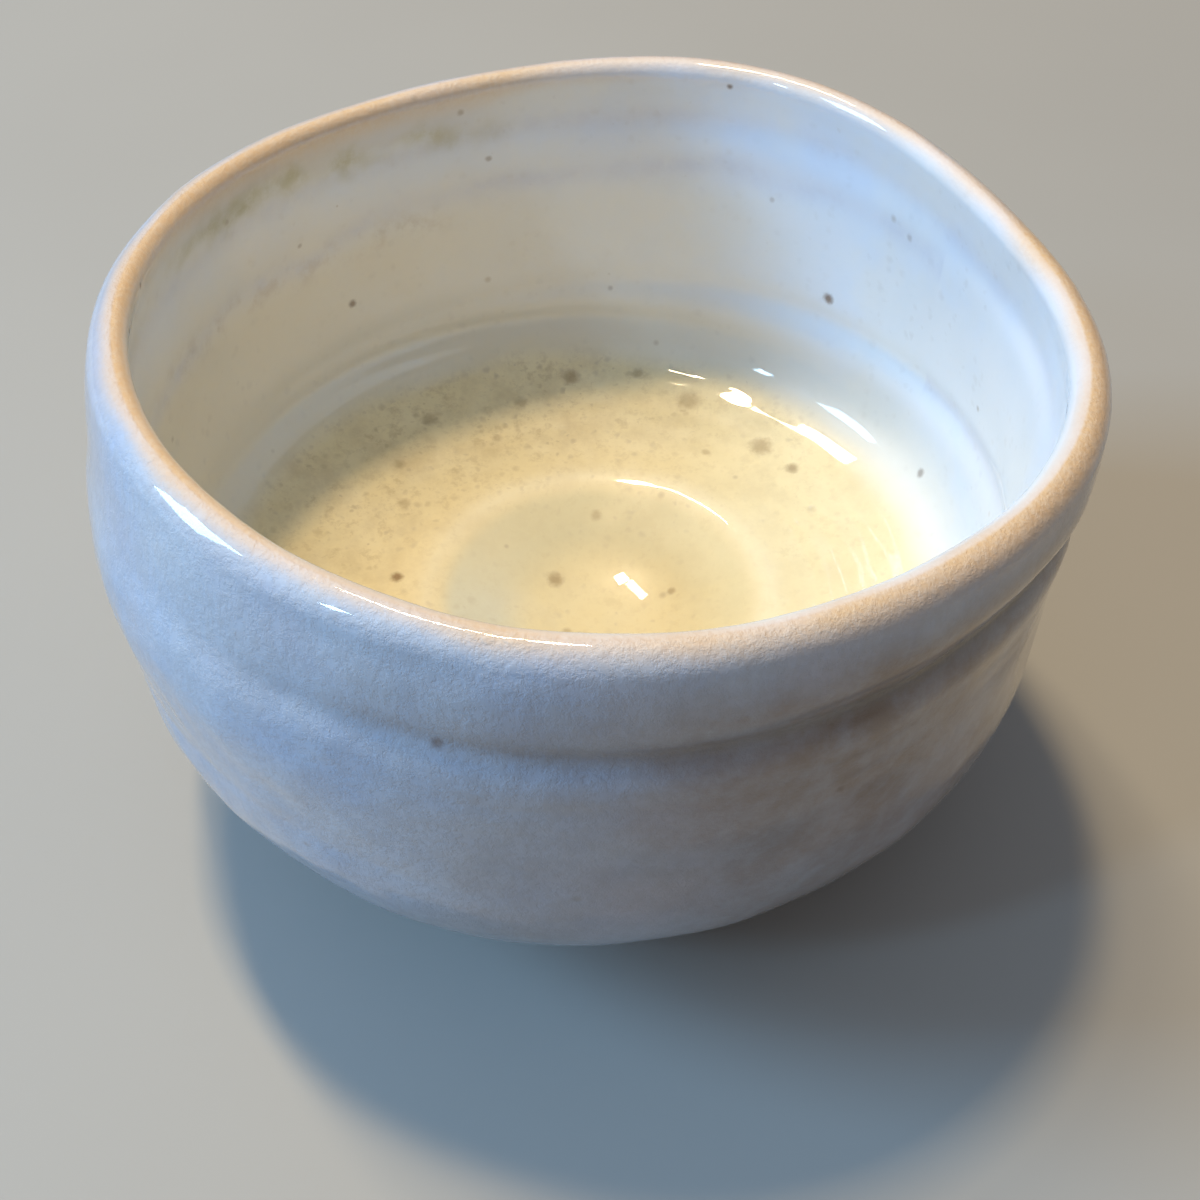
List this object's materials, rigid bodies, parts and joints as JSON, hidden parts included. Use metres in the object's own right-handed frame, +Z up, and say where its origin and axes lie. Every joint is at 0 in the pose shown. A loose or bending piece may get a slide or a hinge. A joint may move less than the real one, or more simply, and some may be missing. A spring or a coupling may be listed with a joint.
{
  "type": "matcha bowl",
  "caption": "Hand-thrown stoneware tea bowl with a rounded uneven rim, a soft groove under it, a milky speckled glaze, a tea well in the floor and a bare foot ring.",
  "frame": {"origin": "centre of the foot ring on the table, at the middle of the bowl's own box", "axes": "+Z up through the bowl's mouth, -Y towards the side that is nearest in the reference view, +X to its right"},
  "size_m": [0.1188, 0.1194, 0.0735],
  "materials": {
    "bare_clay": "matt bare stoneware, pinkish sand colour, slightly gritty",
    "outer_glaze": "milky off-white feldspar glaze, satin to glossy, cool grey on the thick runs",
    "lip_glaze": "thin glossy glaze over the lip, clay showing through tan and pink",
    "wall_glaze": "milky glossy glaze with soft throwing rings",
    "floor_glaze": "glossy warm cream glaze, densely speckled with iron",
    "well_glaze": "thick glossy pooled glaze, pale cream"
  },
  "bodies": {
    "root": {"clay_bowl": "bare_clay", "foot_ring": "bare_clay", "outer_glaze": "outer_glaze", "lip_glaze": "lip_glaze", "wall_glaze": "wall_glaze", "floor_glaze": "floor_glaze", "well_glaze": "well_glaze"}
  },
  "joints": []
}
